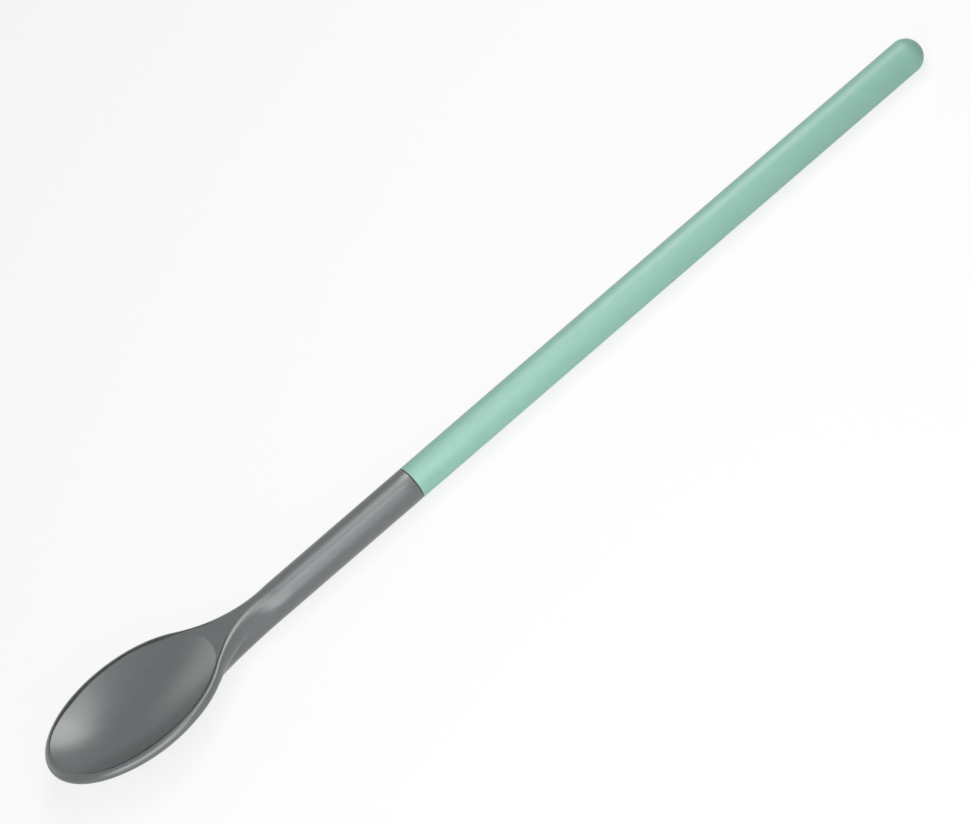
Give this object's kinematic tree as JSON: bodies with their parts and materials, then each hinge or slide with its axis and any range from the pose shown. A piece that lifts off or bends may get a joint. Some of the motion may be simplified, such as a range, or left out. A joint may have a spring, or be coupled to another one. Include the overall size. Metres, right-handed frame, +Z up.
{
  "type": "cooking spoon",
  "caption": "Long-handled cooking spoon with a shallow oval bowl, a flat deck behind it and a round two-tone handle.",
  "frame": {"origin": "under the middle of the spoon, on the surface it lies on", "axes": "+X from the bowl's tip towards the handle's end, +Z up out of the bowl's hollow, the spoon symmetric about the XZ plane"},
  "size_m": [0.35, 0.0468, 0.0133],
  "materials": {
    "grey_plastic": "satin",
    "mint_plastic": "satin",
    "stainless_steel": "drawn bar",
    "dark_rubber": "matte"
  },
  "bodies": {
    "root": {"spoon_head": "grey_plastic", "core_rod": "stainless_steel", "seal_ring": "dark_rubber", "handle_sleeve": "mint_plastic"}
  },
  "joints": []
}
